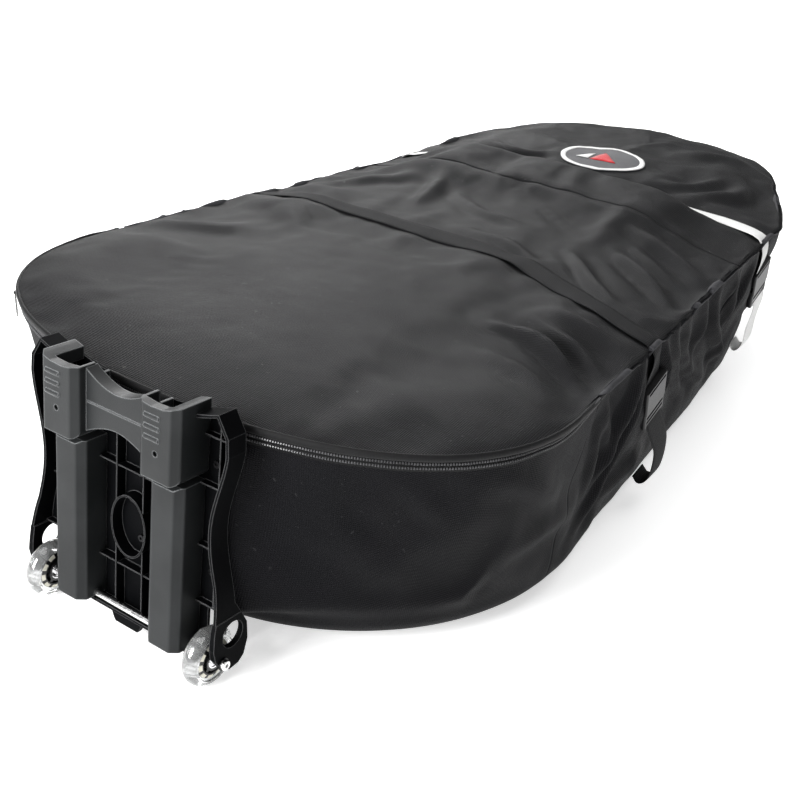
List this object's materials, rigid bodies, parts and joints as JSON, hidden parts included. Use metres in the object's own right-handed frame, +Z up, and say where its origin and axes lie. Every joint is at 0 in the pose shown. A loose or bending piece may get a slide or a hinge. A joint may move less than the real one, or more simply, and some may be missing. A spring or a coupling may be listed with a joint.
{
  "type": "snowboard bag",
  "caption": "Padded wheeled snowboard bag lying flat, with a zipped lid over its nose, cross straps with buckles and a moulded wheel chassis.",
  "frame": {"origin": "centre of the flat base the bag rests on", "axes": "+X from the wheel end to the tail, +Z up, +Y to the bag's left"},
  "size_m": [1.6192, 0.8325, 0.3574],
  "materials": {
    "black_polyester": "plain woven polyester, faint sheen",
    "black_webbing": "ribbed polypropylene webbing",
    "white_webbing": "ribbed webbing, white",
    "zip_black": "nylon coil",
    "zip_tape": "herringbone tape",
    "zip_metal": "black enamel",
    "stiffener": "smooth sheet",
    "foam": "lined closed-cell foam",
    "chassis_plastic": "fine grained moulding",
    "skid_plastic": "satin moulding",
    "buckle_plastic": "satin acetal",
    "clear_tyre": "clear polyurethane, glossy",
    "core_plastic": "smooth moulding",
    "steel": "bright zinc",
    "chrome": "polished",
    "black_steel": "black oxide",
    "patch_fabric": "woven patch with a plain ring",
    "grip": "soft foam sleeve"
  },
  "bodies": {
    "root": {"axle_bolts": "steel", "axle_rod": "steel", "axle_spacers": "steel", "axle_washers": "black_steel", "backing_plate": "stiffener", "base_foam_pad": "foam", "base_panel": "black_polyester", "base_stiffener": "stiffener", "cap_bridge": "chassis_plastic", "cap_screws": "black_steel", "chassis_screws": "black_steel", "chassis_tray": "chassis_plastic", "inner_tie_buckles": "buckle_plastic", "inner_tie_straps": "black_webbing", "logo_patch": "patch_fabric", "main_buckle_female": "buckle_plastic", "main_strap_lower": "black_webbing", "main_strap_upper": "black_webbing", "mid_top_panel": "black_polyester", "mount_collar": "black_polyester", "nose_gusset": "black_polyester", "rear_buckle_female": "buckle_plastic", "rear_strap_lower": "white_webbing", "rear_strap_upper": "white_webbing", "rear_top_panel": "black_polyester", "side_gusset_left": "black_polyester", "side_gusset_right": "black_polyester", "skid_left": "skid_plastic", "skid_right": "skid_plastic", "tail_gusset": "black_polyester", "tail_handle_patches": "black_webbing", "zip_coil_lower": "zip_black", "zip_slider": "zip_metal", "zip_tape_lower": "zip_tape"},
    "lid": {"lid_panel": "black_polyester", "lid_binding": "black_webbing", "zip_tape_upper": "zip_tape", "zip_coil_upper": "zip_black"},
    "zip_tab": {"zip_pull": "zip_metal"},
    "wheel_left": {"wheel_left_tyre": "clear_tyre", "wheel_left_core": "core_plastic", "wheel_left_bearings": "chrome", "wheel_left_sleeve": "steel"},
    "wheel_right": {"wheel_right_tyre": "clear_tyre", "wheel_right_core": "core_plastic", "wheel_right_bearings": "chrome", "wheel_right_sleeve": "steel"},
    "main_latch": {"main_buckle_male": "buckle_plastic"},
    "rear_latch": {"rear_buckle_male": "buckle_plastic"},
    "tail_handle": {"tail_handle_webbing": "black_webbing", "tail_handle_wrap": "grip"}
  },
  "joints": [
    {"name": "lid_open", "type": "hinge", "parent": "root", "child": "lid", "pos_m": [-0.419, 0, 0.3405], "axis": [0, 1, 0], "range_deg": [0, 150]},
    {"name": "zip_tab_flip", "type": "hinge", "parent": "root", "child": "zip_tab", "pos_m": [-0.66033, 0.34824, 0.30941], "axis": [0.6909, 0.723, 0], "range_deg": [0, 120]},
    {"name": "wheel_left_spin", "type": "hinge", "parent": "root", "child": "wheel_left", "pos_m": [-0.806, 0.135, 0.038], "axis": [0, 1, 0], "continuous": true},
    {"name": "wheel_right_spin", "type": "hinge", "parent": "root", "child": "wheel_right", "pos_m": [-0.806, -0.135, 0.038], "axis": [0, 1, 0], "continuous": true},
    {"name": "main_buckle_release", "type": "slide", "parent": "root", "child": "main_latch", "axis": [0.4668, 0.1345, -0.8741], "range_m": [0, 0.035], "deforming": ["main_strap_lower"]},
    {"name": "rear_buckle_release", "type": "slide", "parent": "root", "child": "rear_latch", "axis": [0.4967, 0.1357, -0.8573], "range_m": [0, 0.035], "deforming": ["rear_strap_lower"]},
    {"name": "tail_handle_lift", "type": "hinge", "parent": "root", "child": "tail_handle", "pos_m": [0.77037, 0, 0.242], "axis": [0, -1, 0], "range_deg": [0, 100]}
  ]
}
